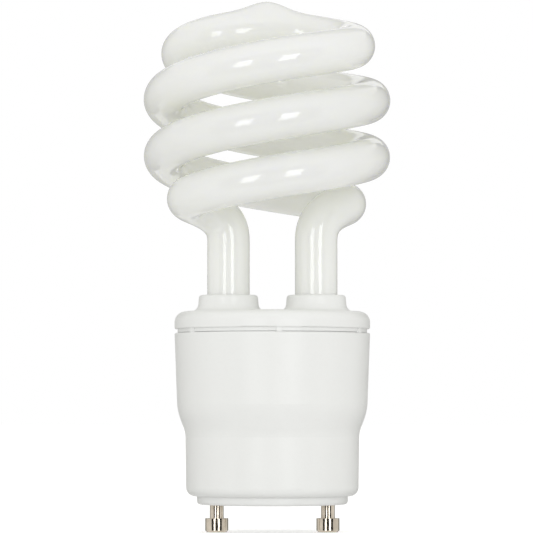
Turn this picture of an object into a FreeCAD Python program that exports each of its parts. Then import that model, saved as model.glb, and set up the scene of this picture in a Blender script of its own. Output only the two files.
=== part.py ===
import FreeCAD, Part
import math
import os

# Spiral energy saving lamp on a two-pin twist-lock base, millimetres.
# Origin on the base face between the two pins, +Z up the lamp, X through both pins.

# Glass tube: a double helix from two legs to a crown in the middle
TUBE_DIAMETER = 9.2
LEG_SPACING = 19.0          # centre to centre of the two straight legs
LEG_LENGTH = 15.6           # straight leg above the cover
LEG_DEPTH = 3.0             # round tube below the top of the cover
COIL_RADIUS = 22.15         # centre line
COIL_PITCH = 24.8           # rise of one strand in a full turn
COIL_STAND = 39.7           # from the cover to a strand's centre line after three quarters of a turn
COIL_OFFSET = -1.15         # the coil stands a little to one side of the base
LOOP_RADIUS = 19.45         # the coil draws in to this above the legs
LOOP_ANGLE = 200.0          # degrees over which it opens to the full radius
LOOP_LIFT = 1.45            # the strand flattens out by this much above the legs
LOOP_LIFT_ANGLE = 175.0
ELBOW_ANGLE = 40.0          # where the elbow runs into the coil
ELBOW_RISE = 8.5            # handle of the elbow's curve at the leg
ELBOW_REACH = 10.4          # handle of the elbow's curve at the coil
TURN_IN_ANGLE = 494.5       # where each strand leaves the coil for the crown
CROWN_BEND = 10.3           # radius of the bend in to the crown, seen from above
CROWN_RISE = 1.75           # dome on top of the tube in the middle of the crown
CROWN_REACH = 4.4           # half width of the dome
SEAL_LENGTH = 2.6           # flattened glass seal below the round tube
SEAL_WIDTH = 8.2
SEAL_THICKNESS = 2.6

# Moulded body
BODY_RADIUS = 21.15         # at the seam
SHOULDER_RADIUS = 20.58     # lower end of the tapered body
SHOULDER_TOP = 21.6
BAND_RADIUS = 18.77         # narrow band below the shoulder
BAND_TOP = 14.6
BAND_DRAFT = 0.17
FOOT_ROUND = 1.9
WALL = 1.3
FLOOR = 1.8
SEAM_HEIGHT = 36.95
SEAM_GAP = 0.9
SEAM_DEPTH = 0.65           # from the body's side in to the cover's land
SEAM_ROUND = 0.3
SPACER_COUNT = 6
SPACER_WIDTH = 1.2
SPACER_ANGLE = 4.0          # turn of the first spacer from the front
FIT_GAP = 0.1
COVER_HEIGHT = 3.75         # visible side of the cover
COVER_ROUND = 2.3
COVER_WALL = 1.5
SPIGOT_WALL = 1.2
SPIGOT_CLEARANCE = 1.3      # above the board, between the feet that hold it down
COLLAR_HEIGHT = 3.6
COLLAR_TOP_RADIUS = 6.35
COLLAR_FOOT_RADIUS = 6.65
COLLAR_FILLET = 1.8
COLLAR_ROUND = 0.7
LEG_GAP = 0.25
SOCKET_DEPTH = 2.9
SOCKET_WALL = 1.0
CEMENT_THICKNESS = 1.0
CEMENT_GAP = 0.03
LEDGE_COUNT = 4
LEDGE_WIDTH = 2.4
LEDGE_RISE = 0.4            # foot of a ledge above the shoulder
LEDGE_BEARING = 1.4

# Base and pins
BASE_SPIGOT_RADIUS = 15.0
BASE_RIM = 1.3              # disc beyond its spigot
BASE_THICKNESS = 1.8
BASE_ROUND = 0.8
BASE_SPIGOT_WALL = 1.6
BASE_LIP = 0.4
BASE_LIP_HEIGHT = 0.9
BASE_BOSS_RADIUS = 3.0
PIN_SPACING = 24.0
PIN_LENGTH = 6.0
PIN_HEAD_DIAMETER = 5.0
PIN_HEAD_LENGTH = 3.0
PIN_HEAD_CHAMFER = 0.4
PIN_NECK_DIAMETER = 3.0
PIN_HOLE_GAP = 0.05
PIN_RIVET_RADIUS = 2.3
PIN_RIVET_HEIGHT = 0.7
PIN_TAIL_DIAMETER = 2.0
PIN_TAIL_LENGTH = 2.6

# Circuit board and what hangs from it; each place is X, Y seen from above
BOARD_GAP = 0.24
BOARD_THICKNESS = 1.6
BOARD_DROP = 2.0            # from the glass seals to the board
LEAD_DIAMETER = 0.6
LEAD_STUB = 0.8             # lead standing out of the solder side
LEAD_HOLE_GAP = 0.1
SOLDER_RADIUS = 0.8
SOLDER_HEIGHT = 0.7
STAND_OFF = 0.4
SMOOTHING_AT = (-8.3, 7.3)
SMOOTHING_DIAMETER = 10.0
SMOOTHING_LENGTH = 16.0
SMOOTHING_LEAD_SPACING = 5.0
RESONANCE_AT = (9.6, -6.2)
RESONANCE_SIZE = (4.5, 10.0, 9.0)
FILTER_AT = (1.0, -15.5)
FILTER_SIZE = (8.0, 3.6, 8.0)
FILM_LEAD_INSET = 1.25      # from the end of a film capacitor to its lead
FILM_ROUND = 0.6
CHOKE_AT = (5.5, 5.2)
CHOKE_WIDTH = 16.0
CHOKE_HEIGHT = 12.2
CHOKE_DEPTH = 4.8
CHOKE_BACK = 2.0            # yoke and outer limbs of the core
CHOKE_LIMB = 4.0            # middle limb
BOBBIN_GAP = 0.2
BOBBIN_WALL = 0.7
BOBBIN_FLANGE = 0.9
BOBBIN_DEPTH = 12.2
WINDING_THICKNESS = 2.4
TOROID_AT = (-9.0, -6.5)
TOROID_DIAMETER = 9.0
TOROID_BORE = 5.0
TOROID_HEIGHT = 3.6
TOROID_TURNS = 7
TOROID_WIRE = 0.6
TRANSISTOR_PLACES = ((1.5, -6.0), (1.5, -11.0))
TRANSISTOR_SIZE = (7.8, 2.7, 10.8)
TRANSISTOR_PITCH = 2.3
TRANSISTOR_LEG = 3.0
TRANSISTOR_HOLE = 3.2
TRANSISTOR_HOLE_RISE = 3.2
DIODE_PLACES = ((-4.2, 14.6), (-0.6, 14.6), (3.0, 14.6), (6.6, 14.6))
DIODE_DIAMETER = 2.7
DIODE_LENGTH = 5.2
RESISTOR_PLACES = ((-4.6, -15.6), (-7.6, -15.0), (14.0, 9.6), (9.7, 13.95))
RESISTOR_DIAMETER = 2.2
RESISTOR_LENGTH = 6.2
HAIRPIN = 1.6               # an upright piece's second lead comes back beside it
TRIGGER_AT = (-4.2, -1.0)
TRIGGER_DIAMETER = 1.9
TRIGGER_LENGTH = 4.0
FUSE_AT = (15.6, 0.0)
FUSE_DIAMETER = 3.2
FUSE_LENGTH = 8.6
FUSE_LEAD_SPACING = 10.0
DRUM_AT = (-15.0, -0.5)
DRUM_DIAMETER = 6.0
DRUM_NECK_DIAMETER = 3.0
DRUM_LENGTH = 8.0
DRUM_FLANGE = 1.0
DRUM_LEAD_SPACING = 4.0
POST_ANGLE = 22.6           # each way from the line through both legs
POST_INSET = 1.54           # from the cover's spigot
POST_WIDTH = 0.8
POST_HEIGHT = 4.6
CATHODE_WIRE = 0.5
CATHODE_SPACING = 3.0       # two wires out of each seal
CATHODE_DROP = 0.6          # from the seal to the bend of a wire
WRAP_TURNS = 2
WRAP_RISE = 0.46
SUPPLY_WIRE = 1.6
WIRE_GAP = 0.08             # end of a wire to the face it meets
SUPPLY_ANGLE = 24.0         # where each wire meets the board, past its pin
SUPPLY_INSET = 1.9          # from the board's edge

# Sizes that follow from those above
TUBE_RADIUS = TUBE_DIAMETER / 2
LEG_X = LEG_SPACING / 2
COVER_EDGE = SEAM_HEIGHT + SEAM_GAP
COVER_TOP = COVER_EDGE + COVER_HEIGHT
LEG_TOP = COVER_TOP + LEG_LENGTH
COIL_HEIGHT = COVER_TOP + COIL_STAND
TUBE_FOOT = COVER_TOP - LEG_DEPTH
CROWN_SPAN = 2.75 * CROWN_REACH
SEAL_BOTTOM = TUBE_FOOT - SEAL_LENGTH
BASE_RADIUS = BASE_SPIGOT_RADIUS + BASE_RIM
FLOOR_TOP = BASE_THICKNESS + FLOOR
BASE_TOP = FLOOR_TOP + FIT_GAP + BASE_LIP_HEIGHT
PIN_X = PIN_SPACING / 2
PIN_TAIL_TOP = BASE_TOP + PIN_RIVET_HEIGHT + PIN_TAIL_LENGTH
BOARD_TOP = SEAL_BOTTOM - BOARD_DROP
BOARD_BOTTOM = BOARD_TOP - BOARD_THICKNESS
LEAD_RADIUS = LEAD_DIAMETER / 2
BODY_TAPER = (BODY_RADIUS - SHOULDER_RADIUS) / (SEAM_HEIGHT - SHOULDER_TOP)
SPIGOT_RADIUS = BODY_RADIUS - WALL - BODY_TAPER * (SEAM_HEIGHT - BOARD_TOP) - FIT_GAP
BOARD_RADIUS = SPIGOT_RADIUS - BOARD_GAP
LEDGE_LENGTH = BOARD_BOTTOM - SHOULDER_TOP - LEDGE_RISE


def vec(x, y, z):
    return FreeCAD.Vector(x, y, z)


def rod(radius, low, high, x=0.0, y=0.0):
    """Upright cylinder between two heights."""
    return Part.makeCylinder(radius, high - low, vec(x, y, low))


def block(size, x, y, low):
    """Box centred on X, Y that stands on a height."""
    return Part.makeBox(size[0], size[1], size[2], vec(x - size[0] / 2, y - size[1] / 2, low))


def turned(outline, x=0.0, y=0.0):
    """Solid of revolution about the upright axis through X, Y from (radius, height) points."""
    points = [vec(r, 0, z) for r, z in outline]
    face = Part.Face(Part.makePolygon(points + points[:1]))
    solid = face.revolve(vec(0, 0, 0), vec(0, 0, 1), 360)
    solid.translate(vec(x, y, 0))
    return solid


def round_circles(solid, radius, circle, height, x=0.0, y=0.0):
    """Round the circular edges of one radius at one height about the axis through X, Y."""
    chosen = []
    for edge in solid.Edges:
        curve = edge.Curve
        if not isinstance(curve, Part.Circle) or abs(curve.Radius - circle) > 0.02:
            continue
        if (curve.Center - vec(x, y, height)).Length < 0.02:
            chosen.append(edge)
    return solid.makeFillet(radius, chosen)


def swept(points, radius):
    """Round bar of one radius along a smooth line through the points."""
    line = Part.BSplineCurve()
    line.interpolate(Points=points)
    start = line.FirstParameter
    ring = Part.Wire([Part.makeCircle(radius, line.value(start), line.tangent(start)[0])])
    return Part.Wire([line.toShape()]).makePipeShell([ring], True, False)


def smooth(t):
    """Ease from 0 to 1 with level ends."""
    t = min(1.0, max(0.0, t))
    return t * t * (3 - 2 * t)


def strand_point(side, angle):
    """Centre line of one strand of the coil; side is 1 for the right leg's strand, -1 for the left's."""
    radius = COIL_RADIUS - (COIL_RADIUS - LOOP_RADIUS) * smooth(1 - angle / LOOP_ANGLE)
    height = COIL_HEIGHT + COIL_PITCH * (angle - 270) / 360
    height += LOOP_LIFT * max(0.0, 1 - angle / LOOP_LIFT_ANGLE) ** 2
    turn = math.radians(angle)
    return vec(COIL_OFFSET + side * radius * math.cos(turn), side * radius * math.sin(turn), height)


def crown_point(side, share):
    """Centre line from the coil round the bend and straight to the middle; share runs from 0 to 1."""
    start = math.radians(TURN_IN_ANGLE)
    middle = COIL_RADIUS - CROWN_BEND
    sweep = math.pi / 2 + math.asin(CROWN_BEND / middle)
    bend = CROWN_BEND * sweep
    length = bend + math.sqrt(middle ** 2 - CROWN_BEND ** 2)
    along = share * length
    turn = start + min(along / CROWN_BEND, sweep)
    x = middle * math.cos(start) + CROWN_BEND * math.cos(turn)
    y = middle * math.sin(start) + CROWN_BEND * math.sin(turn)
    if along > bend:
        left = (length - along) / (length - bend)
        x, y = x * left, y * left
    # The bend lifts above the coil's even rise, so that the tube is level in the middle
    climb = COIL_PITCH * length / (2 * math.pi * COIL_RADIUS)
    height = strand_point(side, TURN_IN_ANGLE).z + climb * share
    height += climb / 4 * share ** 2 * (3 - 2 * share - share ** 2)
    return vec(COIL_OFFSET + side * x, side * y, height)


def strand(side):
    """Points up one leg, round its elbow and along its strand to the crown."""
    points = []
    steps = 9
    for i in range(steps):
        points.append(vec(side * LEG_X, 0, TUBE_FOOT + (LEG_TOP - TUBE_FOOT) * i / steps))
    leg = vec(side * LEG_X, 0, LEG_TOP)
    coil = strand_point(side, ELBOW_ANGLE)
    along = (strand_point(side, ELBOW_ANGLE + 0.5) - coil).normalize()
    elbow = Part.BezierCurve()
    elbow.setPoles([leg, leg + vec(0, 0, ELBOW_RISE), coil - along * ELBOW_REACH, coil])
    for i in range(steps):
        points.append(elbow.value(i / steps))
    steps = 46
    for i in range(steps):
        points.append(strand_point(side, ELBOW_ANGLE + (TURN_IN_ANGLE - ELBOW_ANGLE) * i / steps))
    steps = 12
    for i in range(steps + 1):
        points.append(crown_point(side, i / steps))
    return points


def tube_ring(line, place, rise):
    """Section across the tube's centre line, with its upper side raised where the crown is domed."""
    centre = line.value(place)
    along = vec(*line.tangent(place)[0])
    up = (vec(0, 0, 1) - along * along.z).normalize()
    side = along.cross(up)
    points = []
    count = 24
    for i in range(count):
        turn = 2 * math.pi * i / count
        height = TUBE_RADIUS * math.sin(turn) + rise * max(0.0, math.sin(turn)) ** 2
        points.append(centre + side * (TUBE_RADIUS * math.cos(turn)) + up * height)
    outline = Part.BSplineCurve()
    outline.interpolate(Points=points, PeriodicFlag=True)
    return Part.Wire([outline.toShape()])


def glass_seal(side, round_end):
    """Flattened end of a leg, below the round end of its tube."""
    half = SEAL_WIDTH / 2 - SEAL_THICKNESS / 2
    flat = SEAL_THICKNESS / 2
    x = side * LEG_X
    z = SEAL_BOTTOM
    flat_end = Part.Wire([
        Part.makeLine(vec(x - flat, -half, z), vec(x - flat, half, z)),
        Part.Arc(vec(x - flat, half, z), vec(x, half + flat, z), vec(x + flat, half, z)).toShape(),
        Part.makeLine(vec(x + flat, half, z), vec(x + flat, -half, z)),
        Part.Arc(vec(x + flat, -half, z), vec(x, -half - flat, z), vec(x - flat, -half, z)).toShape(),
    ])
    return Part.makeLoft([flat_end, round_end], True)


def spiral_tube():
    """One glass tube: the domed crown, and from it a strand each way down to a sealed foot."""
    points = strand(-1) + list(reversed(strand(1)))[1:]
    middle = points[len(points) // 2]
    line = Part.BSplineCurve()
    line.interpolate(Points=points)
    back = line.copy()
    back.reverse()
    steps = 16
    rings = []
    for i in range(steps + 1):
        away = CROWN_SPAN * (2 * i / steps - 1)
        rise = CROWN_RISE * math.exp(-(away / CROWN_REACH) ** 2) if 0 < i < steps else 0.0
        rings.append(tube_ring(line, line.parameterAtDistance(away, line.parameter(middle)), rise))
    faces = Part.makeLoft(rings, False, False).Faces
    seals = []
    for side, way, ring in ((1, line, rings[-1]), (-1, back, rings[0])):
        start = way.parameterAtDistance(CROWN_SPAN, way.parameter(middle))
        length = Part.Wire([way.toShape(start, way.LastParameter)]).makePipeShell([ring], False, False)
        foot = way.value(way.LastParameter)
        rims = [edge for edge in length.Edges if edge.isClosed()]
        rim = Part.Wire([min(rims, key=lambda edge: (edge.CenterOfMass - foot).Length)])
        faces += length.Faces + [Part.Face(rim)]
        seals.append(glass_seal(side, rim))
    skin = Part.Compound(faces)
    skin.sewShape()
    glass = Part.Solid(skin.Shells[0])
    if glass.Volume < 0:
        glass.reverse()
    return glass.fuse(seals)


def top_cover():
    spigot_bottom = BOARD_TOP + SPIGOT_CLEARANCE
    cover = turned([
        (SPIGOT_RADIUS, spigot_bottom),
        (SPIGOT_RADIUS, SEAM_HEIGHT + FIT_GAP),
        (BODY_RADIUS - SEAM_DEPTH, SEAM_HEIGHT + FIT_GAP),
        (BODY_RADIUS - SEAM_DEPTH, COVER_EDGE),
        (BODY_RADIUS, COVER_EDGE),
        (BODY_RADIUS, COVER_TOP),
        (0, COVER_TOP),
        (0, COVER_TOP - COVER_WALL),
        (SPIGOT_RADIUS - SPIGOT_WALL, COVER_TOP - COVER_WALL),
        (SPIGOT_RADIUS - SPIGOT_WALL, spigot_bottom),
    ])
    cover = round_circles(cover, COVER_ROUND, BODY_RADIUS, COVER_TOP)
    cover = round_circles(cover, SEAM_ROUND, BODY_RADIUS, COVER_EDGE)
    cement_radius = TUBE_RADIUS + CEMENT_THICKNESS
    socket_bottom = COVER_TOP - COVER_WALL - SOCKET_DEPTH
    for x in (-LEG_X, LEG_X):
        collar = Part.makeCone(COLLAR_FOOT_RADIUS, COLLAR_TOP_RADIUS, COLLAR_HEIGHT, vec(x, 0, COVER_TOP))
        socket = rod(cement_radius + SOCKET_WALL, socket_bottom, COVER_TOP - COVER_WALL / 2, x)
        cover = cover.fuse([collar, socket])
    for x in (-LEG_X, LEG_X):
        cover = round_circles(cover, COLLAR_FILLET, COLLAR_FOOT_RADIUS, COVER_TOP, x)
        cover = round_circles(cover, COLLAR_ROUND, COLLAR_TOP_RADIUS, COVER_TOP + COLLAR_HEIGHT, x)
    for i in range(SPACER_COUNT):
        depth = BODY_RADIUS - SPIGOT_RADIUS
        spacer = Part.makeBox(SPACER_WIDTH, depth, SEAM_GAP + SEAM_ROUND,
                              vec(-SPACER_WIDTH / 2, -BODY_RADIUS + SEAM_ROUND, SEAM_HEIGHT))
        spacer.rotate(vec(0, 0, 0), vec(0, 0, 1), SPACER_ANGLE + 360 / SPACER_COUNT * i)
        cover = cover.fuse(spacer)
    ring = rod(SPIGOT_RADIUS, BOARD_TOP, spigot_bottom)
    ring = ring.cut(rod(SPIGOT_RADIUS - SPIGOT_WALL, BOARD_TOP, spigot_bottom))
    for i in range(LEDGE_COUNT):
        foot = Part.makeBox(SPIGOT_RADIUS, LEDGE_WIDTH, SPIGOT_CLEARANCE, vec(0, -LEDGE_WIDTH / 2, BOARD_TOP))
        foot.rotate(vec(0, 0, 0), vec(0, 0, 1), 45 + 360 / LEDGE_COUNT * i)
        cover = cover.fuse(ring.common(foot))
    for x in (-LEG_X, LEG_X):
        bore = rod(TUBE_RADIUS + LEG_GAP, socket_bottom, COVER_TOP + COLLAR_HEIGHT, x)
        pocket = rod(cement_radius, socket_bottom, COVER_TOP - COVER_WALL / 2, x)
        cover = cover.cut(bore.fuse(pocket))
    return cover.removeSplitter()


def leg_cement():
    low = COVER_TOP - COVER_WALL - SOCKET_DEPTH
    high = COVER_TOP - COVER_WALL / 2
    rings = []
    for x in (-LEG_X, LEG_X):
        ring = rod(TUBE_RADIUS + CEMENT_THICKNESS, low, high, x)
        rings.append(ring.cut(rod(TUBE_RADIUS + CEMENT_GAP, low, high, x)))
    return Part.makeCompound(rings)


def lower_housing():
    hole = BASE_SPIGOT_RADIUS + FIT_GAP
    foot_radius = BAND_RADIUS - BAND_DRAFT
    sway = (SHOULDER_TOP - BAND_TOP) * 0.37
    step = SHOULDER_RADIUS - BAND_RADIUS
    shoulder = Part.BezierCurve()
    shoulder.setPoles([
        vec(BAND_RADIUS, 0, BAND_TOP),
        vec(BAND_RADIUS + step * 0.1, 0, BAND_TOP + sway),
        vec(SHOULDER_RADIUS - step * 0.2, 0, BAND_TOP + sway * 1.3),
        vec(SHOULDER_RADIUS, 0, SHOULDER_TOP),
    ])
    corners = [
        vec(SHOULDER_RADIUS, 0, SHOULDER_TOP),
        vec(BODY_RADIUS, 0, SEAM_HEIGHT),
        vec(BODY_RADIUS - WALL, 0, SEAM_HEIGHT),
        vec(SHOULDER_RADIUS - WALL, 0, SHOULDER_TOP),
        vec(BAND_RADIUS - WALL, 0, BAND_TOP),
        vec(foot_radius - WALL, 0, FLOOR_TOP),
        vec(hole, 0, FLOOR_TOP),
        vec(hole, 0, BASE_THICKNESS),
        vec(foot_radius, 0, BASE_THICKNESS),
        vec(BAND_RADIUS, 0, BAND_TOP),
    ]
    edges = [shoulder.toShape()]
    for a, b in zip(corners, corners[1:]):
        edges.append(Part.makeLine(a, b))
    cup = Part.Face(Part.Wire(edges)).revolve(vec(0, 0, 0), vec(0, 0, 1), 360)
    foot_round = min(FOOT_ROUND, foot_radius - hole - FIT_GAP)
    cup = round_circles(cup, foot_round, foot_radius, BASE_THICKNESS)
    cup = round_circles(cup, SEAM_ROUND, BODY_RADIUS, SEAM_HEIGHT)
    inner = BOARD_RADIUS - LEDGE_BEARING
    outer = SHOULDER_RADIUS - WALL / 2
    for i in range(LEDGE_COUNT):
        ledge = Part.makeBox(outer - inner, LEDGE_WIDTH, LEDGE_LENGTH,
                             vec(inner, -LEDGE_WIDTH / 2, BOARD_BOTTOM - LEDGE_LENGTH))
        ledge.rotate(vec(0, 0, 0), vec(0, 0, 1), 45 + 360 / LEDGE_COUNT * i)
        cup = cup.fuse(ledge)
    return cup.removeSplitter()


def base_plate():
    lip_low = FLOOR_TOP + FIT_GAP
    inside = BASE_SPIGOT_RADIUS - BASE_SPIGOT_WALL
    plate = turned([
        (0, 0),
        (BASE_RADIUS, 0),
        (BASE_RADIUS, BASE_THICKNESS),
        (BASE_SPIGOT_RADIUS, BASE_THICKNESS),
        (BASE_SPIGOT_RADIUS, lip_low),
        (BASE_SPIGOT_RADIUS + BASE_LIP, lip_low),
        (BASE_SPIGOT_RADIUS, BASE_TOP),
        (inside, BASE_TOP),
        (inside, BASE_THICKNESS),
        (0, BASE_THICKNESS),
    ])
    plate = round_circles(plate, BASE_ROUND, BASE_RADIUS, 0)
    for x in (-PIN_X, PIN_X):
        plate = plate.fuse(rod(BASE_BOSS_RADIUS, BASE_THICKNESS / 2, BASE_TOP, x))
    for x in (-PIN_X, PIN_X):
        plate = plate.cut(rod(PIN_NECK_DIAMETER / 2 + PIN_HOLE_GAP, 0, BASE_TOP, x))
    return plate.removeSplitter()


def pin(x):
    """Turned contact pin, peened over inside the base."""
    head = PIN_HEAD_DIAMETER / 2
    neck = PIN_NECK_DIAMETER / 2
    tail = PIN_TAIL_DIAMETER / 2
    return turned([
        (0, -PIN_LENGTH),
        (head - PIN_HEAD_CHAMFER, -PIN_LENGTH),
        (head, -PIN_LENGTH + PIN_HEAD_CHAMFER),
        (head, -PIN_LENGTH + PIN_HEAD_LENGTH),
        (neck, -PIN_LENGTH + PIN_HEAD_LENGTH),
        (neck, BASE_TOP),
        (PIN_RIVET_RADIUS, BASE_TOP),
        (PIN_RIVET_RADIUS - PIN_RIVET_HEIGHT / 2, BASE_TOP + PIN_RIVET_HEIGHT),
        (tail, BASE_TOP + PIN_RIVET_HEIGHT),
        (tail, PIN_TAIL_TOP),
        (0, PIN_TAIL_TOP),
    ], x)


lead_places = []            # every lead that goes through the board, X, Y


def lead(x, y, low):
    """Wire lead from a piece below the board to the solder side."""
    lead_places.append((x, y))
    return rod(LEAD_RADIUS, low, BOARD_TOP + LEAD_STUB, x, y)


def smoothing_capacitor():
    x, y = SMOOTHING_AT
    top = BOARD_BOTTOM - STAND_OFF
    can = rod(SMOOTHING_DIAMETER / 2, top - SMOOTHING_LENGTH, top, x, y)
    can = can.makeFillet(0.6, [e for e in can.Edges if isinstance(e.Curve, Part.Circle)])
    for side in (-1, 1):
        can = can.fuse(lead(x + side * SMOOTHING_LEAD_SPACING / 2, y, top - 1.0))
    return can


def film_capacitor(place, size):
    """Dipped film capacitor with a lead near each end of its longer side."""
    top = BOARD_BOTTOM - STAND_OFF
    body = block(size, place[0], place[1], top - size[2])
    body = body.makeFillet(FILM_ROUND, body.Edges)
    along_x = size[0] > size[1]
    reach = max(size[0], size[1]) / 2 - FILM_LEAD_INSET
    for side in (-1, 1):
        x = place[0] + (side * reach if along_x else 0)
        y = place[1] + (0 if along_x else side * reach)
        body = body.fuse(lead(x, y, top - 1.0))
    return body


def choke_middle():
    return BOARD_BOTTOM - CHOKE_HEIGHT / 2


def choke_core():
    """Two E halves of ferrite, yoke to the outside, that meet at half height."""
    x, y = CHOKE_AT
    half = CHOKE_HEIGHT / 2
    window = (CHOKE_WIDTH - CHOKE_LIMB) / 2 - CHOKE_BACK
    shift = (CHOKE_LIMB + window) / 2
    halves = []
    for low, slot_low in ((choke_middle() - half, choke_middle() - half + CHOKE_BACK),
                          (choke_middle(), choke_middle())):
        piece = block((CHOKE_WIDTH, CHOKE_DEPTH, half), x, y, low)
        for side in (-1, 1):
            slot = block((window, CHOKE_DEPTH, half - CHOKE_BACK), x + side * shift, y, slot_low)
            piece = piece.cut(slot)
        halves.append(piece)
    return Part.makeCompound(halves)


def choke_bobbin():
    x, y = CHOKE_AT
    height = CHOKE_HEIGHT - 2 * CHOKE_BACK - 2 * BOBBIN_GAP
    low = choke_middle() - height / 2
    bore = (CHOKE_LIMB + 2 * BOBBIN_GAP, CHOKE_DEPTH + 2 * BOBBIN_GAP, height)
    width = CHOKE_WIDTH - 2 * CHOKE_BACK - 2 * BOBBIN_GAP
    bobbin = block((bore[0] + 2 * BOBBIN_WALL, bore[1] + 2 * BOBBIN_WALL, height), x, y, low)
    flange = (width, BOBBIN_DEPTH, BOBBIN_FLANGE)
    bobbin = bobbin.fuse([block(flange, x, y, low), block(flange, x, y, low + height - BOBBIN_FLANGE)])
    bobbin = bobbin.cut(block(bore, x, y, low))
    for sx in (-1, 1):
        for sy in (-1, 1):
            place = (x + sx * (width / 2 - 1), y + sy * (BOBBIN_DEPTH / 2 - 1))
            bobbin = bobbin.fuse(lead(place[0], place[1], low + height - BOBBIN_FLANGE / 2))
    return bobbin.removeSplitter()


def choke_winding():
    x, y = CHOKE_AT
    height = CHOKE_HEIGHT - 2 * CHOKE_BACK - 2 * BOBBIN_GAP - 2 * BOBBIN_FLANGE
    low = choke_middle() - height / 2
    inner = (CHOKE_LIMB + 2 * BOBBIN_GAP + 2 * BOBBIN_WALL, CHOKE_DEPTH + 2 * BOBBIN_GAP + 2 * BOBBIN_WALL, height)
    outer = (inner[0] + 2 * WINDING_THICKNESS, inner[1] + 2 * WINDING_THICKNESS, height)
    coil = block(outer, x, y, low)
    corners = [e for e in coil.Edges if abs(e.Length - height) < 0.01 and e.Vertexes[0].Z != e.Vertexes[1].Z]
    coil = coil.makeFillet(WINDING_THICKNESS * 0.8, corners)
    return coil.cut(block(inner, x, y, low))


def toroid_top():
    return BOARD_BOTTOM - TOROID_WIRE - STAND_OFF


def drive_toroid():
    x, y = TOROID_AT
    low = toroid_top() - TOROID_HEIGHT
    ring = rod(TOROID_DIAMETER / 2, low, toroid_top(), x, y)
    return ring.cut(rod(TOROID_BORE / 2, low, toroid_top(), x, y))


def toroid_winding():
    """Single turns of wire round the ring, two of them led up to the board."""
    x, y = TOROID_AT
    low = toroid_top() - TOROID_HEIGHT - TOROID_WIRE
    wall = (TOROID_DIAMETER - TOROID_BORE) / 2
    middle = (TOROID_DIAMETER + TOROID_BORE) / 4
    tall = TOROID_HEIGHT + 2 * TOROID_WIRE
    turns = []
    for i in range(TOROID_TURNS):
        loop = block((wall + 2 * TOROID_WIRE, TOROID_WIRE, tall), middle, 0, low)
        loop = loop.cut(block((wall + 0.04, TOROID_WIRE, TOROID_HEIGHT + 0.04), middle, 0, low + TOROID_WIRE - 0.02))
        angle = 360 / TOROID_TURNS * i
        loop.rotate(vec(0, 0, 0), vec(0, 0, 1), angle)
        loop.translate(vec(x, y, 0))
        reach = TOROID_DIAMETER / 2 + TOROID_WIRE / 2
        turn = math.radians(angle)
        end = lead(x + reach * math.cos(turn), y + reach * math.sin(turn), toroid_top() - 1.0)
        turns.append(loop.fuse(end))
    return Part.makeCompound(turns)


def transistor(place):
    """Flat power transistor hung on three leads, with a hole for a heat sink screw."""
    x, y = place
    top = BOARD_BOTTOM - TRANSISTOR_LEG
    body = block(TRANSISTOR_SIZE, x, y, top - TRANSISTOR_SIZE[2])
    hole = Part.makeCylinder(TRANSISTOR_HOLE / 2, TRANSISTOR_SIZE[1],
                             vec(x, y - TRANSISTOR_SIZE[1] / 2, top - TRANSISTOR_SIZE[2] + TRANSISTOR_HOLE_RISE), vec(0, 1, 0))
    body = body.cut(hole)
    for i in (-1, 0, 1):
        body = body.fuse(lead(x + i * TRANSISTOR_PITCH, y, top - 1.0))
    return body


def upright(place, diameter, length):
    """Two-lead piece on end, with its lower lead bent back up to the board."""
    x, y = place
    radius = diameter / 2
    top = BOARD_BOTTOM - STAND_OFF
    low = top - length
    back = y + radius + HAIRPIN / 2 + LEAD_RADIUS
    if y > 0:
        back = y - radius - HAIRPIN / 2 - LEAD_RADIUS
    body = rod(radius, low, top, x, y).fuse(lead(x, y, top - 1.0))
    bend = low - 1.0
    stem = rod(LEAD_RADIUS, bend, low + 0.5, x, y)
    across = Part.makeCylinder(LEAD_RADIUS, abs(back - y), vec(x, min(y, back), bend), vec(0, 1, 0))
    knee = Part.makeSphere(LEAD_RADIUS, vec(x, y, bend))
    far_knee = Part.makeSphere(LEAD_RADIUS, vec(x, back, bend))
    return body.fuse([stem, knee, across, far_knee, lead(x, back, bend)])


def fuse_resistor():
    x, y = FUSE_AT
    radius = FUSE_DIAMETER / 2
    height = BOARD_BOTTOM - radius - STAND_OFF
    body = Part.makeCylinder(radius, FUSE_LENGTH, vec(x, y - FUSE_LENGTH / 2, height), vec(0, 1, 0))
    half = FUSE_LEAD_SPACING / 2
    wire = Part.makeCylinder(LEAD_RADIUS, 2 * half, vec(x, y - half, height), vec(0, 1, 0))
    body = body.fuse(wire)
    for side in (-1, 1):
        knee = Part.makeSphere(LEAD_RADIUS, vec(x, y + side * half, height))
        body = body.fuse([knee, lead(x, y + side * half, height)])
    return body


def drum_core():
    x, y = DRUM_AT
    top = BOARD_BOTTOM - STAND_OFF
    low = top - DRUM_LENGTH
    flange = DRUM_DIAMETER / 2
    neck = DRUM_NECK_DIAMETER / 2
    core = turned([
        (0, low), (flange, low), (flange, low + DRUM_FLANGE), (neck, low + DRUM_FLANGE),
        (neck, top - DRUM_FLANGE), (flange, top - DRUM_FLANGE), (flange, top), (0, top),
    ], x, y)
    for side in (-1, 1):
        core = core.fuse(lead(x, y + side * DRUM_LEAD_SPACING / 2, top - DRUM_FLANGE / 2))
    return core


def drum_winding():
    x, y = DRUM_AT
    high = BOARD_BOTTOM - STAND_OFF - DRUM_FLANGE
    low = high - DRUM_LENGTH + 2 * DRUM_FLANGE
    coil = rod(DRUM_DIAMETER / 2 - 0.3, low, high, x, y)
    return coil.cut(rod(DRUM_NECK_DIAMETER / 2, low, high, x, y))


def rim_place(radius, angle):
    """X, Y at a radius, an angle from the line through both legs."""
    return radius * math.cos(math.radians(angle)), radius * math.sin(math.radians(angle))


def post_places():
    radius = SPIGOT_RADIUS - SPIGOT_WALL - POST_INSET
    return [rim_place(radius, middle + turn) for middle in (0, 180) for turn in (-POST_ANGLE, POST_ANGLE)]


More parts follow.
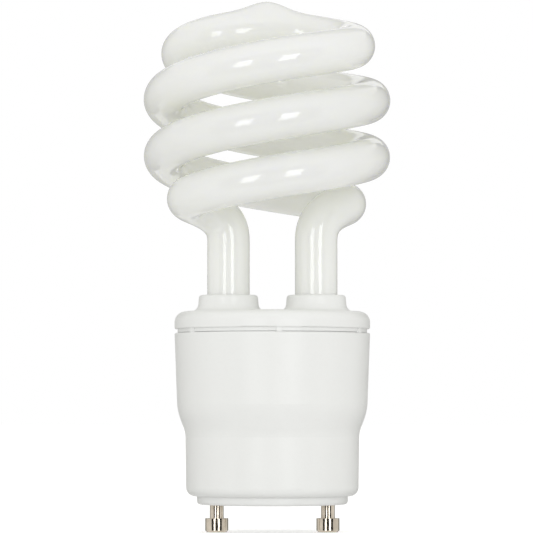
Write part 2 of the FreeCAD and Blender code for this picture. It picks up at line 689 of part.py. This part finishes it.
def wrap_posts():
    posts = []
    for x, y in post_places():
        size = (POST_WIDTH, POST_WIDTH, POST_HEIGHT + BOARD_THICKNESS)
        posts.append(block(size, x, y, BOARD_BOTTOM))
    return Part.makeCompound(posts)


def bar(start, end, radius):
    """Straight round bar between two points."""
    return Part.makeCylinder(radius, (end - start).Length, start, end - start)


def tube_leads(side):
    """Two cathode wires from a seal, each wound twice round its post."""
    radius = CATHODE_WIRE / 2
    reach = POST_WIDTH / 2 * math.sqrt(2) + radius + WIRE_GAP
    wires = []
    for x, y in post_places():
        if x * side < 0:
            continue
        across = CATHODE_SPACING / 2 if y > 0 else -CATHODE_SPACING / 2
        start = vec(side * LEG_X, across, SEAL_BOTTOM - WIRE_GAP)
        knee = start - vec(0, 0, CATHODE_DROP)
        post = vec(x, y, knee.z)
        end = post + (knee - post).normalize() * reach
        wire = bar(start, knee, radius).fuse([Part.makeSphere(radius, knee), bar(knee, end, radius)])
        for i in range(WRAP_TURNS):
            wire = wire.fuse(Part.makeTorus(reach, radius, post + vec(0, 0, WRAP_RISE * i)))
        wires.append(wire)
    return Part.makeCompound(wires)


def supply_wire(side):
    """Insulated wire from a pin's tail up along the housing to the board."""
    place = rim_place(BOARD_RADIUS - SUPPLY_INSET, (0 if side > 0 else 180) - SUPPLY_ANGLE)
    low = PIN_TAIL_TOP + WIRE_GAP
    high = BOARD_BOTTOM - WIRE_GAP
    line = []
    steps = 12
    for i in range(steps + 1):
        t = i / steps
        x = side * PIN_X + (place[0] - side * PIN_X) * smooth(t)
        line.append(vec(x, place[1] * smooth(t), low + (high - low) * t))
    return swept(line, SUPPLY_WIRE / 2)


def solder_joints():
    """A cone of solder round every lead."""
    joints = []
    for x, y in lead_places:
        cone = Part.makeCone(SOLDER_RADIUS, LEAD_RADIUS + 0.1, SOLDER_HEIGHT, vec(x, y, BOARD_TOP))
        joints.append(cone.cut(rod(LEAD_RADIUS, BOARD_TOP, BOARD_TOP + SOLDER_HEIGHT, x, y)))
    return Part.makeCompound(joints)


def circuit_board():
    board = rod(BOARD_RADIUS, BOARD_BOTTOM, BOARD_TOP)
    holes = [rod(LEAD_RADIUS + LEAD_HOLE_GAP, BOARD_BOTTOM, BOARD_TOP, x, y) for x, y in lead_places]
    slots = []
    for x, y in post_places():
        slots.append(block((POST_WIDTH, POST_WIDTH, BOARD_THICKNESS), x, y, BOARD_BOTTOM))
    return board.cut(holes + slots)


nodes = {
    "spiral_tube": spiral_tube(),
    "top_cover": top_cover(),
    "lower_housing": lower_housing(),
    "base_plate": base_plate(),
    "pin_left": pin(-PIN_X),
    "pin_right": pin(PIN_X),
    "leg_cement": leg_cement(),
    "smoothing_capacitor": smoothing_capacitor(),
    "filter_capacitor": film_capacitor(FILTER_AT, FILTER_SIZE),
    "resonance_capacitor": film_capacitor(RESONANCE_AT, RESONANCE_SIZE),
    "choke_core": choke_core(),
    "choke_bobbin": choke_bobbin(),
    "choke_winding": choke_winding(),
    "drive_toroid": drive_toroid(),
    "toroid_winding": toroid_winding(),
    "transistor_a": transistor(TRANSISTOR_PLACES[0]),
    "transistor_b": transistor(TRANSISTOR_PLACES[1]),
    "rectifier_diodes": Part.makeCompound([upright(p, DIODE_DIAMETER, DIODE_LENGTH) for p in DIODE_PLACES]),
    "resistors": Part.makeCompound([upright(p, RESISTOR_DIAMETER, RESISTOR_LENGTH) for p in RESISTOR_PLACES]),
    "trigger_diode": upright(TRIGGER_AT, TRIGGER_DIAMETER, TRIGGER_LENGTH),
    "fuse_resistor": fuse_resistor(),
    "drum_core": drum_core(),
    "drum_winding": drum_winding(),
    "wrap_posts": wrap_posts(),
    "tube_leads_left": tube_leads(-1),
    "tube_leads_right": tube_leads(1),
    "supply_wire_left": supply_wire(-1),
    "supply_wire_right": supply_wire(1),
}
# The board is drilled and soldered where the leads above go through it
nodes["circuit_board"] = circuit_board()
nodes["solder_joints"] = solder_joints()

os.makedirs("parts", exist_ok=True)
for name, shape in nodes.items():
    shape.exportStep("parts/" + name + ".step")
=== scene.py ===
import math

import bpy
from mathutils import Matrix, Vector


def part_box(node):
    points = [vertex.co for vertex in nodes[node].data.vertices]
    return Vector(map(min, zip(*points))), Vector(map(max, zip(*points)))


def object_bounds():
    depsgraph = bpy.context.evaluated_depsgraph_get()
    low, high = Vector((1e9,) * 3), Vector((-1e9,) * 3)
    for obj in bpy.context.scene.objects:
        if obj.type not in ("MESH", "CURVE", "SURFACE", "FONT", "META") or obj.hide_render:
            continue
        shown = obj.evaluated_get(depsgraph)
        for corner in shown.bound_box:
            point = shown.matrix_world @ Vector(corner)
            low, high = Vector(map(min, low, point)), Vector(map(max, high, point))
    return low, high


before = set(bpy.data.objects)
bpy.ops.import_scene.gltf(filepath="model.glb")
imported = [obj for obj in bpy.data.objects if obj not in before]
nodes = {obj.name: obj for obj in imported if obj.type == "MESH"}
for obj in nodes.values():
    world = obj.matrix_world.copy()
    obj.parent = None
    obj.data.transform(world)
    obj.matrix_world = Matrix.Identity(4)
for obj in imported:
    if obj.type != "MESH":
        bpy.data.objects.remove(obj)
cad_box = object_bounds()
scene = bpy.context.scene
scene.view_settings.view_transform = "Standard"

# Places on the part that its finishes follow, in metres
LEG_FOOT = 0.045          # about where the glass legs come out of their collars
LEG_BEND = 0.070          # about the top of the bends above the legs
STRIPE_EDGE = 0.0038      # from the can's axis to where its pale stripe begins
BAND = 0.0005             # width of a colour band on a small part
CATHODE_BAND = 0.0007

MIX_A, MIX_B, MIX_RESULT = 6, 7, 2    # the Mix node's colour sockets
WAVE_BANDS = 10 / math.pi             # bands to the metre of a Wave texture at scale 1


# Node helpers: every surface is drawn in the part's own coordinates, in metres

class Surface:
    """A material with one Principled shader and short calls for its nodes."""

    def __init__(self, name, **constants):
        self.material = bpy.data.materials.new(name)
        self.material.use_nodes = True
        self.tree = self.material.node_tree
        self.tree.nodes.clear()
        output = self.add("ShaderNodeOutputMaterial")
        self.shader = self.add("ShaderNodeBsdfPrincipled")
        self.link(self.shader.outputs["BSDF"], output.inputs["Surface"])
        self.place = self.add("ShaderNodeTexCoord").outputs["Object"]
        for key, value in constants.items():
            self.shader.inputs[key.replace("_", " ")].default_value = value

    def add(self, kind, **settings):
        node = self.tree.nodes.new(kind)
        for key, value in settings.items():
            setattr(node, key, value)
        return node

    def link(self, source, target):
        self.tree.links.new(source, target)

    def put(self, socket, value):
        """Link an output, or set a constant."""
        if isinstance(value, bpy.types.NodeSocket):
            self.link(value, socket)
        else:
            socket.default_value = value

    def noise(self, scale, detail=3.0, rough=0.5, stretch=None):
        """Noise of so many features per metre; stretch scales X, Y, Z first."""
        node = self.add("ShaderNodeTexNoise")
        place = self.place
        if stretch:
            mapping = self.add("ShaderNodeMapping")
            self.link(place, mapping.inputs["Vector"])
            mapping.inputs["Scale"].default_value = stretch
            place = mapping.outputs["Vector"]
        self.link(place, node.inputs["Vector"])
        node.inputs["Scale"].default_value = scale
        node.inputs["Detail"].default_value = detail
        node.inputs["Roughness"].default_value = rough
        return node.outputs["Fac"]

    def rings(self, scale, distortion):
        """Even bands up the part, so many to the metre."""
        node = self.add("ShaderNodeTexWave", wave_type="BANDS", bands_direction="Z")
        self.link(self.place, node.inputs["Vector"])
        node.inputs["Scale"].default_value = scale / WAVE_BANDS
        node.inputs["Distortion"].default_value = distortion
        return node.outputs["Fac"]

    def span(self, value, low=0.0, high=1.0, start=0.3, end=0.7):
        """Map a value from start..end to low..high."""
        node = self.add("ShaderNodeMapRange")
        self.link(value, node.inputs["Value"])
        node.inputs["From Min"].default_value = start
        node.inputs["From Max"].default_value = end
        node.inputs["To Min"].default_value = low
        node.inputs["To Max"].default_value = high
        return node.outputs["Result"]

    def math(self, operation, a, b=0.0):
        node = self.add("ShaderNodeMath", operation=operation)
        self.put(node.inputs[0], a)
        self.put(node.inputs[1], b)
        return node.outputs[0]

    def mix(self, factor, a, b):
        node = self.add("ShaderNodeMix", data_type="RGBA")
        self.put(node.inputs[0], factor)
        for socket, value in ((node.inputs[MIX_A], a), (node.inputs[MIX_B], b)):
            self.put(socket, value if isinstance(value, bpy.types.NodeSocket) else (*value, 1.0))
        return node.outputs[MIX_RESULT]

    def axis(self, name):
        node = self.add("ShaderNodeSeparateXYZ")
        self.link(self.place, node.inputs[0])
        return node.outputs[name]

    def bump(self, height, depth, under=None):
        """Relief of so many metres, laid over the relief under it."""
        node = self.add("ShaderNodeBump")
        self.link(height, node.inputs["Height"])
        node.inputs["Distance"].default_value = depth
        if under:
            self.link(under, node.inputs["Normal"])
        return node.outputs["Normal"]

    def finish(self, colour, roughness, normal):
        self.link(colour, self.shader.inputs["Base Color"])
        self.link(roughness, self.shader.inputs["Roughness"])
        self.link(normal, self.shader.inputs["Normal"])
        return self.material


def darker(shade, share):
    return [share * channel for channel in shade]


# Finishes: a pair of shades or roughness values is what the surface wanders between

def plain(name, shades, grain, roughness, fine, depth):
    """Colour and roughness wander with a coarse grain, over a fine bump."""
    sheen_grain = grain * 2.3
    s = Surface(name)
    colour = s.mix(s.span(s.noise(grain)), *shades)
    relief = s.bump(s.noise(fine, detail=4.0, rough=0.6), depth)
    return s.finish(colour, s.span(s.noise(sheen_grain), *roughness), relief)


def phosphor_glass():
    """White coat with clouds and powder grain, under clear drawn glass; the coat is denser at the legs, so
    less light scatters inside it there, and down the legs its colour turns a neutral white, partly the
    glass's own and partly painted highlight.
    """
    s = Surface("glass", IOR=1.5, Subsurface_Radius=(1.0, 1.0, 0.78), Subsurface_Scale=0.026)
    rise = s.span(s.axis("Z"), low=0.1, high=1.0, start=LEG_FOOT, end=LEG_BEND)
    s.link(rise, s.shader.inputs["Subsurface Weight"])
    clouds = s.mix(s.span(s.noise(55)), (0.918, 0.928, 0.850), (0.942, 0.950, 0.880))
    powder = s.mix(s.span(s.noise(2600, detail=2.0), high=0.25), clouds, (0.885, 0.896, 0.818))
    # partly painted highlight: the neutral white down the legs is brightened to stand for their broad soft
    # sheen
    coat = s.mix(rise, (0.925, 0.928, 0.912), powder)
    waves = s.bump(s.noise(95, detail=1.0), depth=0.00006)
    ripple = s.bump(s.noise(900, detail=2.0), depth=0.0000015, under=waves)
    return s.finish(coat, s.span(s.noise(140), low=0.012, high=0.030), ripple)


def moulded(name, shades, sheen):
    """Satin moulded plastic: flow marks up the wall and a spark-eroded grain."""
    s = Surface(name, Specular_IOR_Level=0.42)
    flow = s.noise(70, rough=0.55, stretch=(1.0, 1.0, 0.22))
    specks = s.span(s.noise(1500, detail=2.0), high=0.3, start=0.5, end=0.9)
    colour = s.mix(specks, s.mix(s.span(flow), *shades), darker(shades[0], share=0.96))
    grain = s.bump(s.noise(3200, rough=0.6), depth=0.000012)
    waves = s.bump(s.noise(60, detail=1.0), depth=0.00003, under=grain)
    return s.finish(colour, s.span(s.noise(240), *sheen), waves)


def turned_metal(name, shades, roughness, rings, depth):
    """Plated metal with fine tool rings, dents and handling marks."""
    dent_depth, mark_depth = depth * 5, depth * 0.8
    s = Surface(name, Metallic=1.0)
    colour = s.mix(s.span(s.noise(420, detail=4.0, rough=0.6)), *shades)
    tool = s.bump(s.rings(rings, distortion=1.2), depth)
    dents = s.bump(s.noise(1100, detail=2.0), dent_depth, under=tool)
    marks = s.bump(s.noise(5200, detail=2.0, stretch=(1.0, 1.0, 0.15)), mark_depth, under=dents)
    return s.finish(colour, s.span(s.noise(900), *roughness), marks)


def wound(name, shades, turns):
    """Enamelled copper laid turn beside turn, so many to the metre, with painted shade in the grooves
    between turns.
    """
    s = Surface(name, Metallic=0.85)
    turn_relief_and_shade = s.rings(turns, distortion=0.6)
    roughness = s.span(s.noise(800), low=0.24, high=0.40)
    # painted shade: the same bands that raise each turn darken the copper in the grooves between turns
    return s.finish(s.mix(turn_relief_and_shade, *shades), roughness, s.bump(turn_relief_and_shade, depth=0.00006))


def banded(name, node, coat, bands):
    """Dipped coat with colour bands, each at a share of the node's height."""
    low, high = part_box(node)
    s = Surface(name, Specular_IOR_Level=0.45)
    height = s.axis("Z")
    colour = s.mix(s.span(s.noise(600)), coat, darker(coat, share=0.82))
    for share, width, ink in bands:
        middle = low.z + (high.z - low.z) * share
        away = s.math("ABSOLUTE", s.math("SUBTRACT", height, middle))
        colour = s.mix(s.math("LESS_THAN", away, width / 2), colour, ink)
    roughness = s.span(s.noise(500), low=0.28, high=0.42)
    return s.finish(colour, roughness, s.bump(s.noise(1400), depth=0.00002))


def striped_sleeve(name, node):
    """Shrunk sleeve with a pale stripe down one side."""
    low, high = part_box(node)
    s = Surface(name, Specular_IOR_Level=0.45)
    side = s.math("SUBTRACT", s.axis("X"), (low.x + high.x) / 2)
    sleeve = s.mix(s.span(s.noise(300)), (0.020, 0.026, 0.045), (0.034, 0.040, 0.064))
    colour = s.mix(s.math("LESS_THAN", side, -STRIPE_EDGE), sleeve, (0.55, 0.57, 0.60))
    roughness = s.span(s.noise(400), low=0.26, high=0.38)
    return s.finish(colour, roughness, s.bump(s.noise(700), depth=0.00004))


def laminate(name):
    """Brown paper laminate with its fibres."""
    s = Surface(name, Specular_IOR_Level=0.35)
    fibre = s.noise(900, detail=4.0, rough=0.65, stretch=(1.0, 0.2, 1.0))
    colour = s.mix(s.span(fibre), (0.34, 0.19, 0.075), (0.47, 0.29, 0.13))
    roughness = s.span(s.noise(300), low=0.42, high=0.6)
    return s.finish(colour, roughness, s.bump(fibre, depth=0.00003))


glass = phosphor_glass()
cover = moulded("cover_plastic", ((0.876, 0.878, 0.870), (0.902, 0.904, 0.897)), sheen=(0.29, 0.37))
housing = moulded("housing_plastic", ((0.874, 0.876, 0.867), (0.900, 0.902, 0.895)), sheen=(0.29, 0.38))
base = moulded("base_plastic", ((0.878, 0.880, 0.873), (0.904, 0.906, 0.900)), sheen=(0.285, 0.36))

plating = turned_metal("plated_pin", ((0.47, 0.415, 0.335), (0.66, 0.590, 0.490)),
                       roughness=(0.06, 0.13), rings=5200, depth=0.000004)
tinned = turned_metal("tinned_wire", ((0.60, 0.60, 0.59), (0.76, 0.76, 0.74)),
                      roughness=(0.22, 0.36), rings=2400, depth=0.000004)
solder = turned_metal("solder", ((0.55, 0.56, 0.58), (0.72, 0.73, 0.74)),
                      roughness=(0.20, 0.38), rings=900, depth=0.000008)
# the darker of the two copper shades is painted shade in the grooves between the turns
copper = wound("copper_wire", ((0.30, 0.10, 0.035), (0.72, 0.34, 0.15)), turns=2600)

cement = plain("cement", ((0.62, 0.60, 0.54), (0.78, 0.76, 0.70)),
               grain=700, roughness=(0.7, 0.9), fine=2600, depth=0.00008)
film_red = plain("film_red", ((0.30, 0.035, 0.022), (0.42, 0.06, 0.035)),
                 grain=260, roughness=(0.14, 0.26), fine=600, depth=0.00007)
film_green = plain("film_green", ((0.030, 0.17, 0.075), (0.05, 0.25, 0.11)),
                   grain=260, roughness=(0.14, 0.26), fine=600, depth=0.00007)
ferrite = plain("ferrite", ((0.040, 0.040, 0.043), (0.075, 0.075, 0.08)),
                grain=1400, roughness=(0.5, 0.72), fine=4200, depth=0.00003)
bobbin = plain("bobbin_plastic", ((0.055, 0.055, 0.055), (0.085, 0.085, 0.085)),
               grain=300, roughness=(0.35, 0.5), fine=1800, depth=0.00002)
epoxy = plain("transistor_case", ((0.022, 0.022, 0.024), (0.042, 0.042, 0.045)),
              grain=900, roughness=(0.42, 0.6), fine=5200, depth=0.00002)
ceramic = plain("fuse_coat", ((0.30, 0.36, 0.36), (0.40, 0.46, 0.45)),
                grain=700, roughness=(0.45, 0.6), fine=2600, depth=0.00003)
white_wire = plain("insulation_white", ((0.70, 0.70, 0.67), (0.80, 0.80, 0.77)),
                   grain=350, roughness=(0.3, 0.45), fine=1200, depth=0.00003)
black_wire = plain("insulation_black", ((0.018, 0.018, 0.019), (0.036, 0.036, 0.037)),
                   grain=350, roughness=(0.3, 0.45), fine=1200, depth=0.00003)

trigger = banded("trigger_coat", "trigger_diode", (0.10, 0.22, 0.42), (
    (0.62, BAND, (0.03, 0.03, 0.035)),
))
diode = banded("diode_case", "rectifier_diodes", (0.030, 0.030, 0.032), (
    (0.55, CATHODE_BAND, (0.62, 0.62, 0.60)),
))
resistor = banded("resistor_coat", "resistors", (0.58, 0.42, 0.24), (
    (0.40, BAND, (0.16, 0.065, 0.02)),
    (0.50, BAND, (0.02, 0.02, 0.02)),
    (0.60, BAND, (0.42, 0.03, 0.02)),
    (0.72, BAND, (0.50, 0.36, 0.10)),
))
can = striped_sleeve("can_sleeve", "smoothing_capacitor")
board = laminate("board")

finishes = {
    "spiral_tube": glass, "top_cover": cover, "lower_housing": housing, "base_plate": base,
    "pin_left": plating, "pin_right": plating, "leg_cement": cement, "circuit_board": board,
    "smoothing_capacitor": can, "filter_capacitor": film_green, "resonance_capacitor": film_red,
    "choke_core": ferrite, "choke_bobbin": bobbin, "choke_winding": copper,
    "drive_toroid": ferrite, "toroid_winding": copper, "transistor_a": epoxy, "transistor_b": epoxy,
    "rectifier_diodes": diode, "fuse_resistor": ceramic, "resistors": resistor, "trigger_diode": trigger,
    "drum_core": ferrite, "drum_winding": copper, "wrap_posts": tinned,
    "tube_leads_left": tinned, "tube_leads_right": tinned,
    "supply_wire_left": white_wire, "supply_wire_right": black_wire, "solder_joints": solder,
}
for name, material in finishes.items():
    data = nodes[name].data
    data.materials.clear()
    data.materials.append(material)


# Studio: pale floor, white surround, two upright softboxes beside the camera, grey cards for the gloss

CENTRE = Vector((-0.00126, 0.0, 0.0514))    # what the camera, the softboxes and the cards face
CAMERA_PLACE = Vector((CENTRE.x, -0.720, 0.0211))
CAMERA_SENSOR = 36.0      # millimetres
CAMERA_LENS = 224.7       # millimetres
SURROUND_LIGHT = (0.772, 0.772, 0.745)
FLOOR_SIZE = 8.0
FLOOR_GREY = 0.82
FLOOR_LIFT = 0.50         # what brings the lit floor to white where it is looked at
MATT_ROUGHNESS = 0.9
CARD_DISTANCE = 1.0
SOFTBOX_DISTANCE = 0.96
SOFTBOX_ELEVATION = 3
SOFTBOX_WIDTH = 0.272
SOFTBOX_HEIGHT = 0.448
SOFTBOX_COLOUR = (0.965, 0.980, 1.0)
WHITE = (1.0, 1.0, 1.0, 1.0)


def around(azimuth, elevation, distance):
    """Point about the lamp; azimuth 0 is the camera's side, positive to its right."""
    a, e = math.radians(azimuth), math.radians(elevation)
    return CENTRE + distance * Vector((math.sin(a) * math.cos(e), -math.cos(a) * math.cos(e), math.sin(e)))


def aim(thing, place):
    thing.location = place
    thing.rotation_euler = (CENTRE - place).to_track_quat("-Z", "Y").to_euler()


def softbox(name, azimuth, power):
    light = bpy.data.lights.new(name, "AREA")
    light.shape = "RECTANGLE"
    light.size = SOFTBOX_WIDTH
    light.size_y = SOFTBOX_HEIGHT
    light.energy = power
    light.color = SOFTBOX_COLOUR
    holder = bpy.data.objects.new(name, light)
    scene.collection.objects.link(holder)
    aim(holder, around(azimuth, SOFTBOX_ELEVATION, SOFTBOX_DISTANCE))


def sheet(name, width, height, material):
    """Flat rectangle about its own origin."""
    x, y = width / 2, height / 2
    mesh = bpy.data.meshes.new(name)
    mesh.from_pydata([(-x, -y, 0), (x, -y, 0), (x, y, 0), (-x, y, 0)], [], [(0, 1, 2, 3)])
    mesh.materials.append(material)
    piece = bpy.data.objects.new(name, mesh)
    scene.collection.objects.link(piece)
    return piece


def looked_at(tree):
    """1 for rays that look straight, in a mirror or through glass, and 0 for light."""
    rays = tree.nodes.new("ShaderNodeLightPath")
    total = rays.outputs["Is Camera Ray"]
    for kind in ("Is Glossy Ray", "Is Transmission Ray"):
        either = tree.nodes.new("ShaderNodeMath")
        either.operation = "MAXIMUM"
        tree.links.new(total, either.inputs[0])
        tree.links.new(rays.outputs[kind], either.inputs[1])
        total = either.outputs[0]
    return total


def white_surround(light):
    """White where it is looked at, and a little dimmer and warmer as light."""
    world = bpy.data.worlds.new("surround")
    scene.world = world
    world.use_nodes = True
    tree = world.node_tree
    shader = tree.nodes["Background"]
    shader.inputs["Strength"].default_value = 1.0
    tint = tree.nodes.new("ShaderNodeMix")
    tint.data_type = "RGBA"
    tree.links.new(looked_at(tree), tint.inputs[0])
    tint.inputs[MIX_A].default_value = (*light, 1.0)
    tint.inputs[MIX_B].default_value = WHITE
    tree.links.new(tint.outputs[MIX_RESULT], shader.inputs["Color"])


def matt_paint(name):
    """A material without gloss, and its shader."""
    material = bpy.data.materials.new(name)
    material.use_nodes = True
    shader = material.node_tree.nodes["Principled BSDF"]
    shader.inputs["Roughness"].default_value = MATT_ROUGHNESS
    shader.inputs["Specular IOR Level"].default_value = 0.0
    return material, shader


def floor_paint(grey, lift):
    """Pale floor that keeps shadows; where it is looked at it is lifted to white."""
    material, shader = matt_paint("floor_paint")
    tree = material.node_tree
    shader.inputs["Base Color"].default_value = (grey, grey, grey, 1.0)
    shader.inputs["Emission Color"].default_value = WHITE
    level = tree.nodes.new("ShaderNodeMapRange")
    tree.links.new(looked_at(tree), level.inputs["Value"])
    level.inputs["To Max"].default_value = lift
    tree.links.new(level.outputs["Result"], shader.inputs["Emission Strength"])
    return material


def card_paint(name, width, left, right):
    """Grey that runs smoothly from a card's left edge to its right, or is even where these are alike."""
    material, shader = matt_paint(name)
    if left == right:
        shader.inputs["Base Color"].default_value = (left, left, left, 1.0)
        return material
    tree = material.node_tree
    across = tree.nodes.new("ShaderNodeSeparateXYZ")
    tree.links.new(tree.nodes.new("ShaderNodeTexCoord").outputs["Object"], across.inputs[0])
    level = tree.nodes.new("ShaderNodeMapRange")
    level.interpolation_type = "SMOOTHSTEP"
    tree.links.new(across.outputs["X"], level.inputs["Value"])
    level.inputs["From Min"].default_value = -width / 2
    level.inputs["From Max"].default_value = width / 2
    level.inputs["To Min"].default_value = left
    level.inputs["To Max"].default_value = right
    tree.links.new(level.outputs["Result"], shader.inputs["Base Color"])
    return material


def flag(name, azimuth, elevation, width, height, greys):
    """Card that only gloss shows, with its greys from left to right as seen from behind it."""
    card = sheet(name, width, height, card_paint(name, width, *greys))
    aim(card, around(azimuth, elevation, CARD_DISTANCE))
    card.visible_camera = False
    card.visible_shadow = False
    card.visible_diffuse = False


white_surround(SURROUND_LIGHT)
floor = sheet("floor", FLOOR_SIZE, FLOOR_SIZE, floor_paint(FLOOR_GREY, FLOOR_LIFT))
floor.location = (0, 0, cad_box[0][2])
floor.visible_glossy = False
flag("flag_left", azimuth=-140, elevation=0, width=0.73, height=1.20, greys=(0.45, 0.85))
flag("flag_right", azimuth=140, elevation=0, width=0.73, height=1.20, greys=(0.80, 0.20))
flag("flag_back", azimuth=180, elevation=0, width=0.72, height=0.72, greys=(0.55, 0.65))
flag("flag_top", azimuth=180, elevation=50, width=0.80, height=0.54, greys=(0.58, 0.58))
flag("flag_front", azimuth=0, elevation=0, width=2.60, height=1.60, greys=(0.06, 0.06))
softbox("softbox_left", azimuth=-21, power=1.64)
softbox("softbox_right", azimuth=21, power=1.85)

camera = bpy.data.objects.new("camera", bpy.data.cameras.new("camera"))
scene.collection.objects.link(camera)
scene.camera = camera
camera.data.sensor_width = CAMERA_SENSOR
camera.data.lens = CAMERA_LENS
aim(camera, CAMERA_PLACE)
